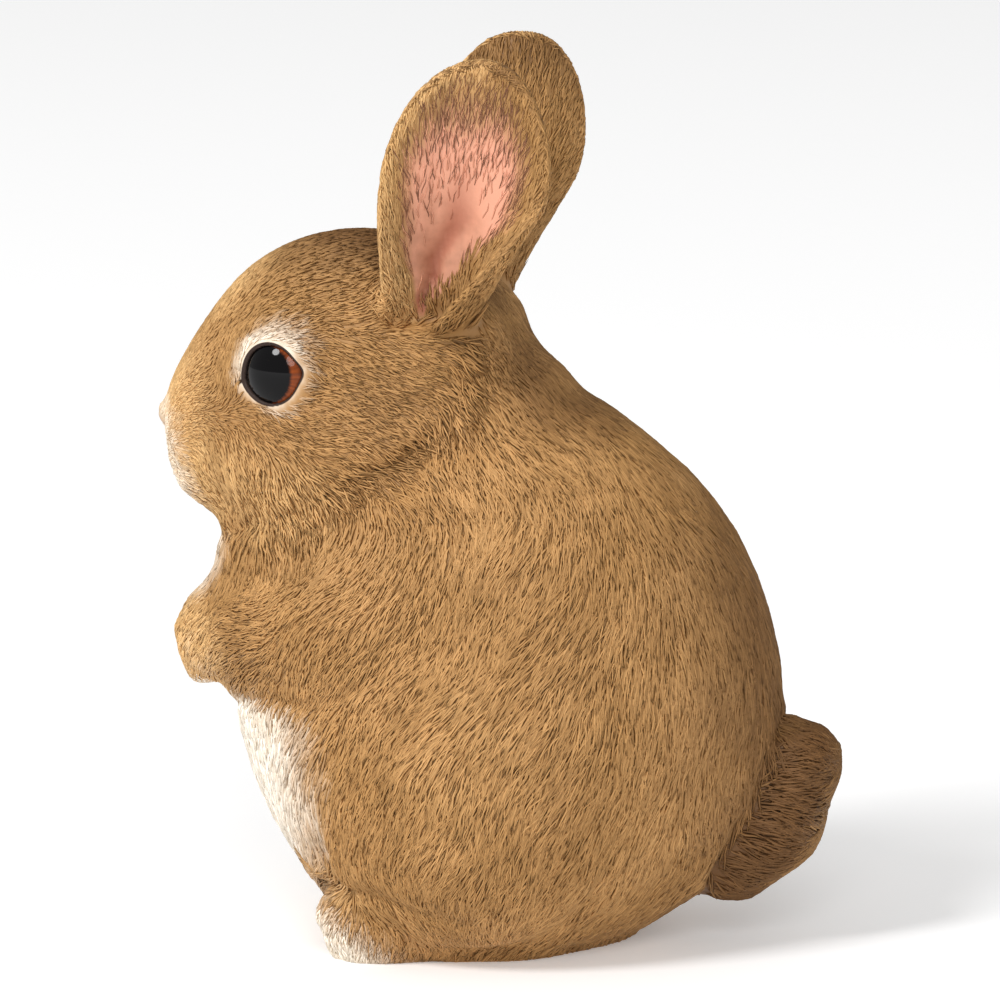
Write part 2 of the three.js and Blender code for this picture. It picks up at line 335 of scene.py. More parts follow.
half = left_half(points)
RUFF = np.array([(25, -3, 99), (25, -2, 92), (24.5, -6, 86), (24, -12, 81), (23, -21, 77),
                 (19, -30, 73), (15, -36, 69), (9, -42, 66)], float)
to_ruff, over_ruff = np.full(len(points), 99.0), np.zeros(len(points))
for _, gap, far in along_course(half, RUFF, (0.5, 1, 1)):
    over_ruff = np.where(far < to_ruff, gap[:, 2] - gap[:, 1], over_ruff)
    to_ruff = np.minimum(to_ruff, far)
ruff_line = rise(half[:, 0], 6, 11) * np.exp(-((to_ruff / 1.6) ** 2))
ruff_lip = rise(half[:, 0], 6, 11) * (over_ruff > 0) * np.exp(-(((to_ruff - 2.6) / 1.7) ** 2))

INSTEP = np.array([(20, -26, 11.5), (28, -22, 12), (35, -15, 12.6), (36.5, -7, 10), (36, 1, 8.5)], float)
instep_line = np.zeros(len(points))
for t, _, far in along_course(half, INSTEP, (0.4, 1, 1)):
    instep_line = np.maximum(instep_line, np.exp(-((far / 1.2) ** 2)) * (1 - 0.2 * t))

crease = 0.9 * border(is_foot, 5) * (points[:, 2] > 1.5) * (1 - rise(points[:, 1], -23, -18)) \
    + 1.1 * border(is_tail, 6) * rise(points[:, 2], 9, 14) \
    + 0.25 * border(is_head, 8) * (1 - rise(points[:, 2], 78, 88)) * rise(points[:, 1], -48, -40) \
    + 0.7 * border(is_arm, 8) * (1 - rise(points[:, 2], 46, 54)) * (points[:, 1] < -14)
crease += 1.9 * ruff_line - 0.6 * ruff_lip
crease = np.maximum(crease, 1.8 * instep_line)
points -= surface_normals(points) * crease[:, None]

# The bowl of each ear deepens to a fold that runs down into the head.
inside_cup = (breadth - cup_front) / (cup_rear - cup_front).clip(0.05)
fold = np.exp(-(((inside_cup - 0.45 - 0.05 * height) / (0.1 + 0.1 * height)) ** 2)) \
    * (1 - rise(height, 0.3, 0.75))
points -= surface_normals(points) * (1.3 * cup * fold)[:, None]

# -- the eyelids
# Inside the opening the skin drops behind the glass. At its edge it stands over the glass as a
# rounded rim, and from there it runs out into the face.

EYE_HALF_WIDTH, EYE_HALF_HEIGHT, EYE_DEPTH = 6.1, 6.3, 4.4


def glass_depth(back, up):
    """How far out the glass stands at a place in the eye's plane."""
    inside = 1 - (back / EYE_HALF_WIDTH) ** 2 - (up / EYE_HALF_HEIGHT) ** 2
    return EYE_DEPTH * np.sqrt(np.clip(inside, 0, 1))


for side in (1, -1):
    back, up, outward = eye_plane(points, side)
    share = lid_share(back, up)
    rim = glass_depth(back / share, up / share) + 0.35 - 1.1 * (share - 1.12) ** 2 / 0.12 * 0.2
    blend = rise(share, 1.14, 1.7)
    wanted = np.where(share < 1, glass_depth(back, up) - 1.2 + 1.2 * rise(share, 0.9, 1.02),
                      rim * (1 - blend) + outward * blend)
    wanted = np.where((share >= 0.9) & (share < 1), np.minimum(wanted, rim), wanted)
    move = np.where((share < 1.75) & (outward > -4), wanted - outward, 0)
    points += np.outer(move, eye_ways(side)[1])

# -- muzzle and toes
# A cleft runs from the nose down to the mouth, which curves back under each cheek, and the nostrils
# are two short slits. Shallow grooves part the toes of each hind foot.


def strongest(*fields):
    return np.clip(np.maximum.reduce(fields), 0, 1)


from_nose = points - nose_centre
aside = np.abs(from_nose[:, 0])
ahead = rise(-from_nose[:, 1], -12, -3)
cleft = np.exp(-(aside / 0.45) ** 2) * rise(-from_nose[:, 2], 1.5, 3) \
    * (1 - rise(-from_nose[:, 2], 6.5, 8.5))
mouth_level = -7.2 + 0.05 * aside ** 2
mouth = np.exp(-((from_nose[:, 2] - mouth_level) / 0.5) ** 2) * (1 - rise(aside, 3.5, 6.5))
slit = from_nose[:, 2] + 2.1 - 0.55 * (aside - 1.2)
nostril = np.exp(-((slit / 0.3) ** 2) - ((aside - 1.5) / 0.75) ** 2) * (from_nose[:, 1] < 2)
lips = ahead * strongest(cleft, mouth)
dent = ahead * (0.5 * cleft + 0.6 * mouth + 0.45 * nostril)
points -= surface_normals(points) * dent[:, None]

GROOVE_OFFSET, GROOVE_WIDTH, GROOVE_DEPTH = 2.6, 0.6, 0.7
foot_low, foot_high = (np.array(c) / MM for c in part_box("hind_foot_left"))
toe_middle = (foot_low[0] + foot_high[0]) / 2 + 1.5
across = np.abs(np.abs(points[:, 0]) - toe_middle + 0.25 * (points[:, 1] - foot_low[1]))
grooves = np.exp(-((across - GROOVE_OFFSET) / GROOVE_WIDTH) ** 2)
toes = is_foot * grooves * (1 - rise(points[:, 1], foot_low[1] + 4, foot_low[1] + 9))
points -= surface_normals(points) * (GROOVE_DEPTH * toes * rise(points[:, 2], 0.5, 2))[:, None]
points[:, 2] = np.where(points[:, 2] < 0.55, 0, points[:, 2])  # the soles stand flat on the floor
normals = surface_normals(points)
skin.name = "casting"
for p in skin.polygons:
    p.use_smooth = True

# -- the paint
# The figure is painted in thin coats over a tan ground: darker along the back, partly as painted
# shade, and on crown, nape and tail, golden on muzzle, cheeks and paws, cream on belly, bib, lip,
# toes and round the eyes, and pink in the ears. Painted shade darkens the grooves, the creases, the
# ears' folds and bowls, the nostrils and the mouth, and a painted highlight lightens each haunch.
# Skin and coat both take their paint from these same marks.


def patch(at, size, soft=0.35):
    """1 inside a rounded patch and 0 outside it, the same on both sides of the figure."""
    return 1 - rise(reach(left_half(points), at, size), 1 - soft, 1 + soft)


eye_ring, lid_edge = np.zeros(len(points)), np.zeros(len(points))
for side in (1, -1):
    back, up, outward = eye_plane(points, side)
    share = lid_share(back, up)
    at_eye = outward > -4
    above = 0.5 + 0.5 * np.tanh((up * 0.8 - back * 0.7) / 3)
    ring = (1 - (share - 1.1) / (0.4 + 0.7 * above)).clip(0, 1) * at_eye
    eye_ring = np.maximum(eye_ring, ring * (0.65 + 0.35 * above))
    before = 0.5 - 0.5 * np.tanh((back - up * 0.3) / 3)
    width = 0.05 + 0.06 * before
    line = (1 - rise(share, 1.0 + width, 1.06 + width)) * at_eye
    tear_line = np.exp(-((up + 1.6 - 0.35 * (back + 6)) / 0.42) ** 2) * rise(-back, 5, 5.6) \
        * (1 - rise(-back, 7.4, 8.4)) * at_eye
    lid_edge = strongest(lid_edge, line, tear_line)

tail_back = rise(normals[:, 1] - 0.4 * normals[:, 2], 0.45, 0.9)
on_rim = is_ear * (1 - cup) * rise(faces_out, 0.0, 0.3)
ear_back = is_ear * (1 - cup) * (1 - rise(faces_out, -0.1, 0.3))
under_paws = is_arm * rise(points[:, 2], 41, 44)
cream = strongest(
    patch((0, -48, 30.5), (41, 31, 24), 0.55) * (1 - 0.7 * under_paws),  # belly
    patch((8, -47, 41), (9, 10, 4)) * 0.5,                               # under the paws
    patch((0, -43, 60), (12, 9, 8), 0.7) * 0.7,                          # bib
    patch((0, -46, 66), (8, 8, 4.5)) * 0.6,                              # throat
    patch((0, -54, 76.5), (6, 6, 5)) * 0.9,                              # chin
    patch((0, -54, 77.5), (10, 9, 8.5), 0.7) * 0.75,                     # lips
    patch((24, -27, 1), (14, 14.5, 9), 0.7),                             # toes
    eye_ring * 0.7)
umber_and_shade = strongest(
    # along the back: dark paint, and painted shade on the back turned from the light
    patch((0, 50, 52), (28, 30, 56), 0.7) * 0.75,                        # spine
    patch((0, -13, 115), (17, 28, 12), 0.9),                             # crown
    patch((8, 10, 96), (16, 13, 14), 0.5) * 0.6,                         # nape
    patch((17, -1, 101), (8, 7, 4)) * 0.4,                               # ears' roots
    patch((25, -15, 90), (8, 13, 11), 0.7) * 0.35,                       # behind the eyes
    patch((24, -30, 85), (8, 9, 1.4), 0.7) * 0.35,                       # under the eyes
    patch((14, -45.5, 91), (5, 1.8, 8), 0.7) * 0.3,                      # before the eyes
    # painted shade in the creases under the cheek ruff and along each instep
    is_tail * (1 - 0.5 * tail_back), ruff_line * 0.4, instep_line * 0.6,
    on_rim * rise(inside_cup, 0.8, 1.1) * 0.4, ear_back * (0.15 + 0.5 * rise(height, 0.6, 1)))
gold_and_highlight = strongest(
    patch((0, -50, 80), (17, 15, 17), 0.6),                              # muzzle
    patch((0, -42, 104), (12, 12, 9), 0.5) * 0.7,                        # forehead
    patch((20, -36, 76), (12, 16, 9), 0.5) * 0.6,                        # cheeks
    patch((8, -44, 50), (14, 14, 9), 0.5) * 0.9,                         # paws
    # painted highlight on the bulge of each haunch
    patch((40, 0, 40), (9, 18, 12), 0.6) * 0.3,                          # thighs
    patch((24, -20, 14), (9, 9, 9)) * 0.5,                               # insteps
    on_rim * (0.75 - 0.7 * rise(inside_cup, 0.6, 1)), is_tail * tail_back * 0.4)

from_fold = np.abs(inside_cup - 0.48)
pink = cup * (1 - 0.8 * rise(height, 0.55, 0.88)) \
    * (0.3 + 0.7 * rise(inside_cup, 0.02, 0.28) * (1 - rise(inside_cup, 0.68, 0.95)))
tawny = cup * rise(np.maximum(from_fold * 1.9, height * 1.2), 0.72, 1.0)
umber_and_shade = strongest(umber_and_shade, tawny * 0.35, (1 - rise(nose_pad, 0.9, 1.7)) * 0.5)
pink = strongest(pink, (1 - rise(nose_pad, 0.8, 1.3)) * 0.35)
# Painted shade down the fold and in the bottom of each ear's bowl, in the nostrils and along the mouth.
depth_shade = strongest(cup * fold * 0.8, cup * (1 - rise(height, 0.02, 0.16)), nostril * 0.9, lips * 0.6)
zones = np.c_[cream, umber_and_shade, gold_and_highlight]
flesh_and_shade = np.c_[pink, depth_shade, lid_edge]


def store(mesh, name, values):
    """Keeps three numbers at each point of a mesh."""
    layer = mesh.attributes.new(name, "FLOAT_VECTOR", "POINT")
    layer.data.foreach_set("vector", values.astype(np.float32).ravel())


store(skin, "place", points)
store(skin, "zones", zones)
store(skin, "flesh_and_shade", flesh_and_shade)
store(skin, "strand", np.c_[cup * 0.9, np.ones(len(points)), np.full(len(points), 0.5)])


def shade(red, green, blue):
    """A paint's colour as the shader counts it, from 0 to 255 as the eye does."""
    return tuple(
        v / 12.92 if v <= 0.04045 else ((v + 0.055) / 1.055) ** 2.4
        for v in (red / 255, green / 255, blue / 255)) + (1,)


class Paint:
    """A number, colour or vector on its way through a paint's nodes."""

    def __init__(self, tree, socket):
        self.tree, self.socket = tree, socket

    def node(self, kind, settings=(), inputs=(), output=0):
        made = self.tree.nodes.new(kind)
        for what, value in dict(settings).items():
            setattr(made, what, value)
        for what, value in dict(inputs).items():
            if isinstance(value, Paint):
                self.tree.links.new(value.socket, made.inputs[what])
            else:
                made.inputs[what].default_value = value
        return Paint(self.tree, made.outputs[output])

    def sum(self, operation, first, second):
        return self.node("ShaderNodeMath", {"operation": operation}, {0: first, 1: second})

    def __add__(self, other):
        return self.sum("ADD", self, other)

    __radd__ = __add__

    def __sub__(self, other):
        return self.sum("SUBTRACT", self, other)

    def __rsub__(self, other):
        return self.sum("SUBTRACT", other, self)

    def __mul__(self, other):
        return self.sum("MULTIPLY", self, other)

    __rmul__ = __mul__

    def rise(self, low, high):
        return self.node("ShaderNodeMapRange", {"interpolation_type": "SMOOTHSTEP"},
                         {"Value": self, "From Min": low, "From Max": high})

    def mixed(self, other, share, how="MIX"):
        """This colour with a share of another one over it, or times it."""
        return self.node("ShaderNodeMix", {"data_type": "RGBA", "blend_type": how},
                         {0: share, 6: self, 7: other}, 2)

    def between(self, first, second):
        """One colour where this is 0 and another where it is 1."""
        return self.node("ShaderNodeMix", {"data_type": "RGBA"}, {0: self, 6: first, 7: second}, 2)

    def parts(self):
        split = self.node("ShaderNodeSeparateXYZ", (), {0: self}).socket.node
        return [Paint(self.tree, out) for out in split.outputs]

    def noise(self, size, detail=2.0):
        """Cloudy noise whose blotches are about this many millimetres across."""
        return self.node("ShaderNodeTexNoise", (),
                         {"Vector": self, "Scale": 1 / size, "Detail": detail})

    def into(self, socket):
        self.tree.links.new(self.socket, socket)


def new_paint(name, roughness, specular):
    """A material, the start of its nodes, and its shader."""
    material = bpy.data.materials.new(name)
    material.use_nodes = True
    shader = material.node_tree.nodes["Principled BSDF"]
    shader.inputs["Roughness"].default_value = roughness
    shader.inputs["Specular IOR Level"].default_value = specular
    return material, Paint(material.node_tree, None), shader


def attribute(paint, name):
    return paint.node("ShaderNodeAttribute", {"attribute_name": name}, (), "Vector")


TAN, LIGHT_TAN = shade(167, 125, 74), shade(187, 143, 90)
GOLD, CREAM, PINK = shade(224, 182, 124), shade(250, 240, 224), shade(224, 160, 132)
# Rose brown is painted shade in the ears' folds and bowls, the nostrils and the mouth.
UMBER, ROSE_BROWN_SHADE, LID_BROWN = shade(98, 65, 33), shade(160, 88, 64), shade(46, 28, 18)
# The dark wash that settles in the grooves and paints the shade there, and the same thinner over cream and
# pink.
WASH_AND_SHADE, THIN_WASH_AND_SHADE = (0.70, 0.61, 0.50, 1), (0.86, 0.79, 0.70, 1)


def marked_colour(paint):
    """The painted colour by the marks, the same colour under the wash and painted groove shade, and where
    the paint is.
    """
    place = attribute(paint, "place")
    cream, umber_and_shade, gold_and_highlight = attribute(paint, "zones").parts()
    pink, depth_shade, lid = attribute(paint, "flesh_and_shade").parts()
    broad, fine = place.noise(9) - 0.5, place.noise(2.2) - 0.5
    colour = place.noise(14).rise(0.3, 0.7).between(TAN, LIGHT_TAN)
    # gold paint, and a painted highlight on the haunches
    colour = colour.mixed(GOLD, (gold_and_highlight + broad * 0.6 + fine * 0.5).rise(0.2, 1.0) * 0.8)
    colour = colour.mixed(CREAM, (cream + broad * 0.25 + fine * 0.6).rise(0.15, 0.95))
    colour = colour.mixed(PINK, (pink + fine * 0.2).rise(0.1, 0.8))
    # umber: dark paint, and painted shade in the creases and on the back
    colour = colour.mixed(UMBER, (umber_and_shade + broad * 0.4 + fine * 0.4).rise(0.1, 1.0) * 0.88)
    # rose-brown painted shade in the ears' folds and bowls, the nostrils and the mouth
    colour = colour.mixed(ROSE_BROWN_SHADE, depth_shade.rise(0.1, 1.0) * 0.85)
    colour = colour.mixed(LID_BROWN, lid.rise(0.2, 0.8))
    # The wash, real paint and painted shade too, darkens the grooves and the locks' edges.
    wash_and_groove_shade = colour.mixed((cream + pink).between(WASH_AND_SHADE, THIN_WASH_AND_SHADE), 1, "MULTIPLY")
    return colour, wash_and_groove_shade, place


skin_paint, start, shader = new_paint("skin_paint", roughness=0.55, specular=0.35)
colour, wash_and_groove_shade, place = marked_colour(start)
uncoated = attribute(start, "strand").parts()[0]
# The skin in the gaps between the locks is partly in the wash colour: painted shade in the grooves.
wash_and_groove_shade.mixed(colour, 0.7 + uncoated.rise(0.1, 0.7) * 0.3).into(shader.inputs["Base Color"])
grain = place.noise(0.5, 3)
grain.node("ShaderNodeBump", (), {"Strength": 0.35, "Distance": 0.1 * MM, "Height": grain},
           "Normal").into(shader.inputs["Normal"])
skin.materials.append(skin_paint)
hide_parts(*(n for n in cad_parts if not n.startswith("eye")))
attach(casting, "root")

# ---------------------------------------------------------------- the coat
# The fur is carved in dense low locks: each is a thin wavy ridge, rooted under the skin, that lies
# over the locks behind it. They are longest on the body and smallest on muzzle, lids and feet.

skin_faces = [tuple(p.vertices) for p in skin.polygons]
skin_tree = BVHTree.FromPolygons(points.tolist(), skin_faces)
face_normals = np.array([normals[list(f)].mean(0) for f in skin_faces])
skin.calc_loop_triangles()
triangles = read(skin.loop_triangles, "vertices", 3, np.int32)

# Where the hair points at places on the left side and the middle of the figure: (place, way).
LIE = (
    ((0, -54, 88), (0, 0.3, 1)), ((7, -50, 84), (0.3, 0.8, 0.35)), ((7, -50, 76), (0.5, 0.8, -0.2)),
    ((0, -44, 66), (0, 0.5, -1)), ((8, -40, 67), (0.2, 0.6, -0.8)), ((0, -44, 104), (0, 0.8, 0.6)),
    ((0, -22, 114), (0, 1, 0)), ((0, -6, 110), (0, 1, -0.5)), ((0, 6, 98), (0, 0.5, -1)),
    ((19, -42, 95), (0.1, 0.3, 1)), ((18, -33, 102), (-0.1, 1, 0.2)), ((22, -24, 93), (0.1, 1, -0.35)),
    ((20, -33, 84), (0.1, 1, -0.3)), ((24, -22, 84), (0, 1, -0.3)), ((23, -34, 78), (0.1, 0.25, -1)),
    ((22, -28, 72), (0, 0.3, -1)), ((18, -38, 72), (0, 0.15, -1)), ((12, -46, 76), (0.2, 0.3, -1)),
    ((25, -18, 80), (0, 0.9, -0.7)), ((20, -14, 98), (0, 1, -0.4)), ((17, -14, 103), (0.1, 0.35, 0.9)),
    ((20, 0, 94), (0, 0.7, -0.8)), ((24, -4, 84), (0, 0.3, -1)), ((24, -20, 66), (0.1, -0.15, -1)),
    ((34, -6, 64), (0.1, -0.35, -1)), ((28, -22, 60), (0, -0.8, -0.6)), ((24, -34, 54), (-0.5, -0.8, -0.35)),
    ((10, -48, 54), (-0.2, -0.8, -0.6)), ((8, -52, 48), (0, -0.2, -1)), ((26, -26, 42), (0, -0.4, -1)),
    ((0, -40, 62), (0, -0.3, -1)), ((0, 12, 88), (0, 0.7, -0.8)), ((0, 36, 66), (0, 0.5, -1)),
    ((0, 46, 40), (0, 0.05, -1)), ((0, 42, 18), (0, -0.3, -1)), ((18, 22, 80), (0.1, 0.3, -0.9)),
    ((26, 34, 50), (0.2, -0.1, -1)), ((34, 10, 66), (0.1, -0.45, -1)), ((38, 14, 48), (0, -0.6, -1)),
    ((38, 0, 46), (0, -0.6, -1)), ((36, 26, 30), (0, -0.5, -1)), ((41, 0, 26), (0, -0.45, -1)),
    ((36, -20, 34), (0, -0.55, -1)), ((28, -32, 28), (0, -0.2, -1)), ((38, -4, 12), (0, 0.1, -1)),
    ((32, -14, 14), (0, 0.45, -1)), ((34, 14, 10), (0, -0.3, -1)), ((0, -46, 36), (0, 0, -1)),
    ((14, -40, 30), (0, 0, -1)), ((0, -40, 14), (0, 0.5, -1)), ((22, -22, 13), (0, -0.9, -0.5)),
    ((31, -16, 6), (0.1, -0.25, -1)), ((22, -28, 6), (0, -0.3, -1)), ((11, 43, 38), (0.1, 0.1, -1)),
    ((15, 40, 24), (0, -0.1, -1)), ((12, 36, 10), (0, -0.2, -1)),
)
lie_places = np.array([place for place, _ in LIE], float)
lie_ways = np.array([way for _, way in LIE], float)
lie_ways /= np.linalg.norm(lie_ways, axis=1)[:, None]
EAR_FAN, CUP_FAN, TAIL_FAN = (10.0, -7.0, 88.0), (17.0, -8.5, 100.0), (0, 24, 27)


def unit(v):
    return v / np.linalg.norm(v, axis=1)[:, None].clip(1e-9)


def flat(v, up):
    """The part of a direction that lies in the surface, at length 1."""
    return unit(v - up * (v * up).sum(1)[:, None])


def turned(v, up, angle):
    """A direction in the surface, swung by an angle."""
    return v * np.cos(angle)[:, None] + np.cross(up, v) * np.sin(angle)[:, None]


def ripple(places, size, seed):
    """A smooth random wave over the figure, from about -1 to 1, in swells of a size."""
    rng = np.random.default_rng(seed)
    ways = unit(rng.normal(size=(8, 3)))
    return np.sin(places @ ways.T * (2 * math.pi / size) + rng.uniform(0, 6.28, 8)).mean(1) * 2.2


def lie_of(places, up, on_ear, on_lining, on_tail):
    """The way the hair points, in the surface. It fans out from the root of each ear and the tail."""
    half = left_half(places)
    way = np.zeros_like(places)
    for some in np.array_split(np.arange(len(places)), max(1, len(places) // 4000)):
        gap = ((half[some, None] - lie_places) ** 2).sum(2) + 9
        way[some] = unit((1 / gap**2) @ lie_ways)
    fan = np.where(on_lining[:, None] > 0.3, CUP_FAN, EAR_FAN)
    way = np.where(on_ear[:, None] > 0.5, unit(half - fan), way)
    way = np.where(on_tail[:, None] > 0.5, unit(half - TAIL_FAN), way)
    way[:, 0] *= np.sign(places[:, 0]) * np.minimum(np.abs(places[:, 0]) / 4, 1)
    stray = 0.22 * ripple(places, 18, 5) + 0.12 * ripple(places, 6, 6)
    return turned(flat(way, up), up, stray * np.where(on_ear + on_tail > 0.5, 0.4, 1))


def settle(places):
    """The nearest places on the skin, and which way is out there."""
    hits = [skin_tree.find_nearest(p) for p in places.tolist()]
    return np.array([h[0] for h in hits]), unit(face_normals[[h[2] for h in hits]])


# The locks are small on the face and feet. Longer ones stand off the form under the cheeks, at the chin
# and over the toes, and none grow on lids, nose, lips and the corners of the eyes.
small = strongest(
    1 - rise(np.linalg.norm(points - nose_centre, axis=1), 4, 24), eye_ring * 0.75, is_foot * 0.35,
    patch((8, -46, 49), (12, 14, 12)) * 0.4)
lock_scale = 1 - 0.5 * small
tufts = strongest(
    ruff_lip, patch((0, -49, 70), (12, 8, 8)) * 0.6, patch((20, -34, 75), (9, 12, 8)) * 0.7,
    patch((24, -24, 15), (9, 5, 3)) * 0.5)
rooted = (1 - rise(bare, 0.4, 0.8)) * (1 - rise(lid_edge, 0.1, 0.4)) * (1 - rise(lips, 0.3, 0.7))
for side in (1, -1):
    back, up, outward = eye_plane(points, side)
    rooted *= 1 - (np.hypot(back + 6.8, (up + 1.7) * 1.8) < 2.0) * (outward > -4)

# The dashes in an ear's cup leave its bowl bare and are thickest towards its edge and tip.
bowl = 1 - rise(reach(np.c_[inside_cup, height], (0.52, 0.12), (0.34, 0.36)), 0.7, 1.3)
dashes = cup * (1 - bowl) * (0.4 + 0.6 * rise(np.maximum(from_fold * 2, height * 1.15), 0.5, 0.9))


def spread_roots(corners, per_mm2, thinned, rng):
    """Spots over some of the skin's triangles, closest together where the locks are small: the
    triangle that each is in, and how near it is to each of its corners."""
    a, b, c = (points[corners[:, k]] for k in range(3))
    size = np.linalg.norm(np.cross(b - a, c - a), axis=1) / 2
    weight = size * rooted[corners].min(1) / lock_scale[corners].mean(1) ** 1.6
    weight *= 1 - (normals[corners].mean(1)[:, 2] < -0.8) * (points[corners].mean(1)[:, 2] < 1.5)
    weight *= thinned[corners].mean(1)
    count = int(weight.sum() * per_mm2)
    spots = (np.arange(count) + rng.random(count)) / count * weight.sum()
    picked = np.searchsorted(np.cumsum(weight), spots).clip(0, len(weight) - 1)
    u, v = rng.random(count), rng.random(count)
    u, v = np.where(u + v > 1, 1 - u, u), np.where(u + v > 1, 1 - v, v)
    return picked, np.c_[1 - u - v, u, v]


ROOT_DEPTH = 0.15  # how far each lock's root is sunk under the skin
BEND_STEP = 2.4  # how far along its wave a lock is from one bend to the next
TIP_LIFT = 0.8


def lay_locks(root, up, heading, length, width, tall, wave, wave_start, bends, thick):
    """Every lock's points, laid along the skin from its root: a left edge, crest and right edge at
    each bend, then its tip. Also the places on the skin under the tips."""
    along = np.arange(1, bends + 1) / (bends + 1)
    lift = np.interp(along, (0, 0.25, 0.5, 0.75, 1), (-0.1, 0.5, 0.85, 0.95, TIP_LIFT))
    girth = np.interp(along, (0, 0.25, 0.6, 1), (0, 0.85, 1, 0.2))
    stride = (length / (bends + 1))[:, None]
    rows, place = [root - up * ROOT_DEPTH], root
    for k in range(bends):
        place, up = settle(place + heading * stride)
        heading = flat(heading, up)
        heading = turned(heading, up, wave * np.sin(wave_start + BEND_STEP * k))
        across = np.cross(up, heading) * (width * girth[k] / 2)[:, None]
        crest = place + up * (tall * lift[k])[:, None]
        low = up * np.minimum(thick, tall * lift[k] + 0.1)[:, None]
        rows += [crest - low + across, crest, crest - low - across]
    place, up = settle(place + heading * stride)
    rows.append(place + up * (tall * TIP_LIFT)[:, None])
    return np.stack(rows, 1), place


def along_a_lock(bends):
    """How far along a lock each of its points is, from 0 at the root to 1 at the tip."""
    return ((np.arange(3 * bends + 2) - 1) // 3 + 1) / (bends + 1)


def lock_faces(bends):
    """One lock's triangles, and where their corners fall in its patch of the baking map."""
    tip, along = 3 * bends + 1, along_a_lock(bends)
    rows = [(3 * k + 1, 3 * k + 2, 3 * k + 3) for k in range(bends)]
    faces, marks = [], []
    top, under = (0, 0.35), (0.75, 0.1)

    def face(strip, *corners):
        start, step = strip
        faces.append(corners)
        marks.append([(start + step * (1 if p in (0, tip) else (p - 1) % 3), along[p]) for p in corners])

    left, crest, right = rows[0]
    face(top, 0, crest, left)
    face(top, 0, right, crest)
    face(under, 0, left, right)
    for (l0, c0, r0), (l1, c1, r1) in zip(rows[:-1], rows[1:]):
        for strip, a, b, c, d in ((top, c0, c1, l1, l0), (top, r0, r1, c1, c0), (under, l0, l1, r1, r0)):
            face(strip, a, b, c)
            face(strip, a, c, d)
    left, crest, right = rows[-1]
    face(top, tip, left, crest)
    face(top, tip, crest, right)
    face(under, tip, right, left)
    return np.array(faces), np.array(marks)


def unwrapped(corners):
    """The baking map of some of the skin's triangles, spread out flat by their own shape."""
    used, again = np.unique(corners, return_inverse=True)
    mesh = bpy.data.meshes.new("unwrap")
    mesh.from_pydata(points[used] * MM, [], again.reshape(corners.shape))
    piece = bpy.data.objects.new("unwrap", mesh)
    bpy.context.scene.collection.objects.link(piece)
    bpy.ops.object.select_all(action="DESELECT")
    piece.select_set(True)
    bpy.context.view_layer.objects.active = piece
    bpy.ops.object.mode_set(mode="EDIT")
    bpy.ops.mesh.select_all(action="SELECT")
    bpy.ops.uv.smart_project(angle_limit=math.radians(66), island_margin=0.01)
    bpy.ops.object.mode_set(mode="OBJECT")
    spread = read(mesh.uv_layers.active.uv, "vector", 2).reshape(-1, 3, 2)
    bpy.data.objects.remove(piece)
    bpy.data.meshes.remove(mesh)
    return spread


coat_paint, start, shader = new_paint("coat_paint", roughness=0.6, specular=0.3)
colour, wash_and_groove_shade, place = marked_colour(start)
ridge, _, chance = attribute(start, "strand").parts()
# Each lock's edges are in the wash colour and its crest in the full colour: painted shade on the lock's
# sides. Its tone differs at random from lock to lock.
carved = wash_and_groove_shade.mixed(colour, ridge.rise(0.0, 0.75))
carved = carved.mixed(chance.between((0.88, 0.86, 0.83, 1), (1.05, 1.05, 1.04, 1)), 1, "MULTIPLY")
# The crests are lightened: dry-brushed paint, and a painted highlight where they catch the light.
dry_brush_and_highlight = carved.mixed(
    (1.55, 1.6, 1.75, 1), ridge.rise(0.5, 1.0) * chance.rise(0.3, 1.0) * 0.62, "MULTIPLY")
dry_brush_and_highlight.into(shader.inputs["Base Color"])

dark_hair, _, shader = new_paint("dark_hair", roughness=0.6, specular=0.5)
shader.inputs["Base Color"].default_value = shade(128, 84, 58)

SCATTER = 0.08  # how much the locks' headings differ, as an angle
EYE_MARGIN = 1.12  # how near to the lids' edge a lock may reach
FLOOR_GAP = 0.05
UV_PATCH = 0.003  # how wide each lock's own patch of the baking map is


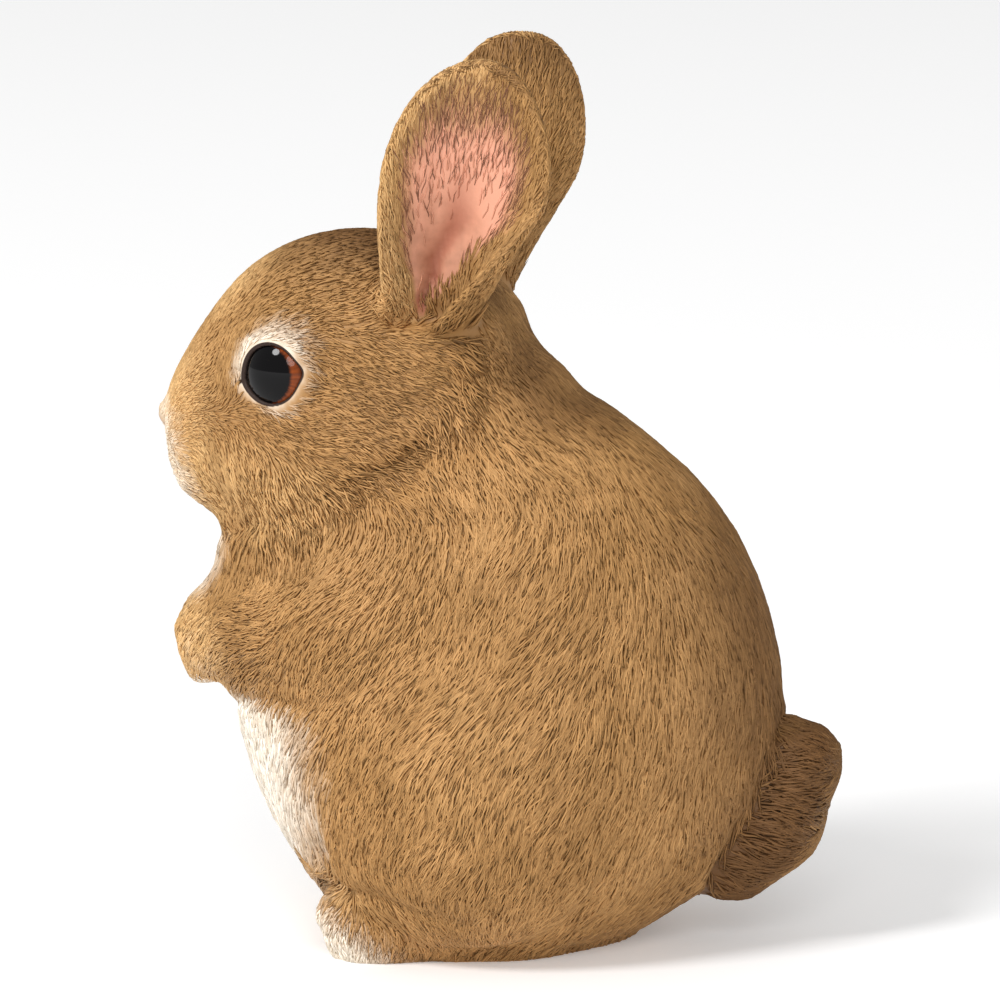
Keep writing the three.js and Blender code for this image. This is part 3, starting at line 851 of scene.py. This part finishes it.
def grow_coat(name, chosen, nodes, seed, per_mm2, long, broad, bends=3, paint=coat_paint,
              thick=0.3, thinned=np.ones(len(points)), proud=0.0):
    """A piece of the coat: locks rooted over some of the skin's triangles."""
    rng = np.random.default_rng(seed)
    corners = triangles[chosen]
    picked, shares = spread_roots(corners, per_mm2, thinned, rng)
    count = len(picked)

    def at_root(values):
        return np.einsum("nk,nk...->n...", shares, values[corners[picked]])

    root, up = at_root(points), unit(at_root(normals))
    heading = turned(
        lie_of(root, up, at_root(is_ear * 1.0), at_root(np.maximum(cup, on_rim)), at_root(is_tail * 1.0)),
        up, rng.normal(0, SCATTER, count))
    scale, tufted = at_root(lock_scale), at_root(tufts)
    length = long * scale * rng.uniform(0.7, 1.3, count) * (1 + 0.7 * tufted)
    width = broad * scale**0.6 * rng.uniform(0.8, 1.25, count)
    tall = at_root(depth) * rng.uniform(0.95, 1.35, count) + proud + tufted * rng.uniform(0, 0.9, count)
    wave, wave_start = rng.uniform(0.15, 0.45, count), rng.uniform(0, 6.28, count)
    locks, tips = lay_locks(root, up, heading, length, width, tall, wave, wave_start, bends, thick)

    # No lock hangs over an eye or goes through the floor.
    keep = np.ones(count, bool)
    for side in (1, -1):
        back, rising, outward = eye_plane(tips, side)
        keep &= ~((lid_share(back, rising) < EYE_MARGIN) & (outward > -4))
    locks = locks[keep]
    locks[:, :, 2] = locks[:, :, 2].clip(FLOOR_GAP)
    kept, each = locks.shape[:2]
    lock_corners, lock_marks = lock_faces(bends)
    faces = (np.arange(kept)[:, None, None] * each + lock_corners).reshape(-1, 3)

    mesh = bpy.data.meshes.new(name)
    mesh.vertices.add(kept * each)
    mesh.vertices.foreach_set("co", (locks * MM).astype(np.float32).ravel())
    mesh.loops.add(faces.size)
    mesh.loops.foreach_set("vertex_index", faces.astype(np.int32).ravel())
    mesh.polygons.add(len(faces))
    mesh.polygons.foreach_set("loop_start", np.arange(0, faces.size, 3, dtype=np.int32))
    mesh.polygons.foreach_set("use_smooth", np.ones(len(faces), bool))
    mesh.update(calc_edges=True)

    def along_lock(values):
        return np.repeat(values[keep], each, axis=0)

    store(mesh, "place", along_lock(root))
    store(mesh, "zones", along_lock(at_root(zones)))
    store(mesh, "flesh_and_shade", along_lock(at_root(flesh_and_shade)))
    on_crest = np.array([0.3] + [0, 1, 0] * bends + [1])
    store(mesh, "strand", np.c_[np.tile(on_crest, kept), np.tile(along_a_lock(bends), kept),
                                along_lock(rng.random(count))])
    spread = np.einsum("nk,nkc->nc", shares, unwrapped(corners)[picked])[keep]
    baking = spread[:, None, None] + (lock_marks - 0.5) * UV_PATCH
    layer = mesh.uv_layers.new(name="OFBake")
    layer.uv.foreach_set("vector", baking.clip(0.0005, 0.9995).astype(np.float32).ravel())
    mesh.materials.append(paint)
    piece = bpy.data.objects.new(name, mesh)
    bpy.context.scene.collection.objects.link(piece)
    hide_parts(*nodes)
    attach(piece, "root")


owner_of, middle_of = owner[triangles[:, 0]], points[triangles].mean(1)
side_of = np.sign(middle_of[:, 0])
in_cup = cup[triangles].mean(1) > 0.5
of_head = is_head[triangles[:, 0]]
of_trunk = (owner_of == "trunk") | (owner_of == "neck")
for n, (side, word) in enumerate(((1, "left"), (-1, "right"))):
    here = side_of == side
    grow_coat(f"coat_face_{word}", of_head & here, ["head", "nose"], 10 + n,
              per_mm2=2.8, long=3.6, broad=0.42, bends=2)
    grow_coat(f"coat_back_{word}", of_trunk & here & (middle_of[:, 1] > -4), ["neck", "trunk"], 20 + n,
              per_mm2=2.1, long=7.2, broad=0.5)
    grow_coat(f"coat_arm_{word}", owner_of == f"foreleg_{word}", [f"foreleg_{word}"], 30 + n,
              per_mm2=2.2, long=5.4, broad=0.46)
    grow_coat(f"coat_thigh_{word}", owner_of == f"hind_leg_{word}", [f"hind_leg_{word}"], 40 + n,
              per_mm2=2.2, long=6.8, broad=0.5)
    ear, of_ear = [f"ear_{word}"], owner_of == f"ear_{word}"
    grow_coat(f"coat_ear_{word}", of_ear & ~in_cup, ear, 50 + n,
              per_mm2=2.0, long=3.8, broad=0.5, bends=2)
    grow_coat(f"ear_lining_{word}", of_ear & in_cup, ear, 60 + n,
              per_mm2=1.6, long=3.6, broad=0.24, bends=2,
              thick=0.06, thinned=dashes)
    grow_coat(f"ear_hair_{word}", of_ear & in_cup, ear, 64 + n,
              per_mm2=1.1, long=3.4, broad=0.16, bends=2, paint=dark_hair,
              thick=0.06, thinned=dashes**1.5, proud=0.08)
grow_coat("coat_belly", of_trunk & (middle_of[:, 1] <= -4), ["trunk", "neck"], 70,
          per_mm2=2.0, long=5.6, broad=0.48)
grow_coat("coat_feet", is_foot[triangles[:, 0]], ["hind_foot_left", "hind_foot_right"], 80,
          per_mm2=2.6, long=3.6, broad=0.42, bends=2)
grow_coat("coat_tail", owner_of == "tail", ["tail"], 90,
          per_mm2=2.2, long=6.4, broad=0.55, proud=0.1)

# ---------------------------------------------------------------- the eyes
# Two domed glass eyes, set in from behind the lids: a clear dome over a black pupil, with a
# crescent of red-brown iris that shows at the back and a thin edge of it all round.

PUPIL_FORWARD = 1.0  # how far before the middle of the opening the pupil sits

eye_paint, start, shader = new_paint("eye_paint", roughness=0.06, specular=0.2)
across, rising, _ = attribute(start, "gaze").parts()
aside = across + PUPIL_FORWARD
off_pupil = start.node("ShaderNodeVectorMath", {"operation": "LENGTH"}, {
    0: start.node("ShaderNodeCombineXYZ", (), {0: aside, 1: rising})}, "Value")
spoke = start.node("ShaderNodeMath", {"operation": "ARCTAN2"}, {0: rising, 1: aside})
fibre = start.node("ShaderNodeTexNoise", {"noise_dimensions": "2D"}, {
    "Vector": start.node("ShaderNodeCombineXYZ", (), {0: spoke * 9, 1: off_pupil * 0.4}),
    "Scale": 1.0, "Detail": 3.0})
iris = fibre.between(shade(70, 29, 12), shade(156, 76, 32))
iris = iris.mixed(shade(30, 12, 6), off_pupil.rise(5.6, 6.6))
pupil = 1 - (off_pupil + fibre * 0.3).rise(4.7, 5.3)
iris.mixed(shade(6, 5, 6), pupil).into(shader.inputs["Base Color"])

for side, word in ((1, "left"), (-1, "right")):
    dome = bmesh.new()
    bmesh.ops.create_uvsphere(dome, u_segments=64, v_segments=40, radius=1)
    sphere = np.array([v.co for v in dome.verts])
    glass = bpy.data.meshes.new(f"glass_{word}")
    dome.to_mesh(glass)
    dome.free()
    back, outward = eye_ways(side)
    gaze = sphere * (EYE_HALF_WIDTH, EYE_HALF_HEIGHT, EYE_DEPTH)
    placed = (gaze[:, :1] * back + gaze[:, 1:2] * np.array((0, 0, 1.0)) + gaze[:, 2:] * outward
              + eye_centre * (side, 1, 1))
    glass.vertices.foreach_set("co", (placed * MM).astype(np.float32).ravel())
    if side < 0:
        glass.flip_normals()
    glass.update()
    glass.shade_smooth()
    store(glass, "gaze", gaze)
    glass.materials.append(eye_paint)
    eye = bpy.data.objects.new(f"glass_eye_{word}", glass)
    bpy.context.scene.collection.objects.link(eye)
    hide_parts(f"eye_{word}")
    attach(eye, "root")

# ---------------------------------------------------------------- the studio
# A plain pale sweep of floor, a large soft lamp up to the front, a softer one behind the camera
# and a pale surround. The camera is a long lens, a little above the figure and just behind its side.

bpy.ops.mesh.primitive_circle_add(vertices=96, radius=4.5, fill_type="NGON")
floor = bpy.context.object
floor.name = "floor"
floor_paint, _, shader = new_paint("floor_paint", roughness=0.8, specular=0.5)
shader.inputs["Base Color"].default_value = (0.9, 0.9, 0.9, 1)
shader.inputs["Emission Color"].default_value = (1, 1, 1, 1)
shader.inputs["Emission Strength"].default_value = 0.2
floor.data.materials.append(floor_paint)

world = bpy.data.worlds.new("surround")
bpy.context.scene.world = world
world.use_nodes = True
world.node_tree.nodes["Background"].inputs["Color"].default_value = (1, 1, 1, 1)
world.node_tree.nodes["Background"].inputs["Strength"].default_value = 0.5


def stand(name, thing, azimuth, elevation, distance, aim):
    """A lamp or a camera set up at a distance and turned to face its aim."""
    held = bpy.data.objects.new(name, thing)
    a, e = math.radians(azimuth), math.radians(elevation)
    back = Vector((math.sin(a) * math.cos(e), -math.cos(a) * math.cos(e), math.sin(e)))
    held.location = aim + back * distance
    held.rotation_mode = "QUATERNION"
    held.rotation_quaternion = back.to_track_quat("Z", "Y")
    bpy.context.scene.collection.objects.link(held)
    return held


middle = (Vector(cad_box[0]) + Vector(cad_box[1])) / 2
for name, azimuth, elevation, breadth, power in (
    ("key", 50, 43, 1.2, 95.0),
    ("fill", 102, 28, 1.8, 56.0),
):
    lamp = bpy.data.lights.new(name, "AREA")
    lamp.shape = "DISK"
    lamp.size = breadth
    lamp.energy = power
    stand(name, lamp, azimuth, elevation, distance=4.0, aim=middle)

lens = bpy.data.cameras.new("camera")
lens.lens = 290
lens.sensor_width = 36
bpy.context.scene.camera = stand(
    "camera", lens, azimuth=99, elevation=9.5, distance=1.3, aim=Vector((0, 0, 0.0709)))
bpy.context.scene.view_settings.view_transform = "Standard"
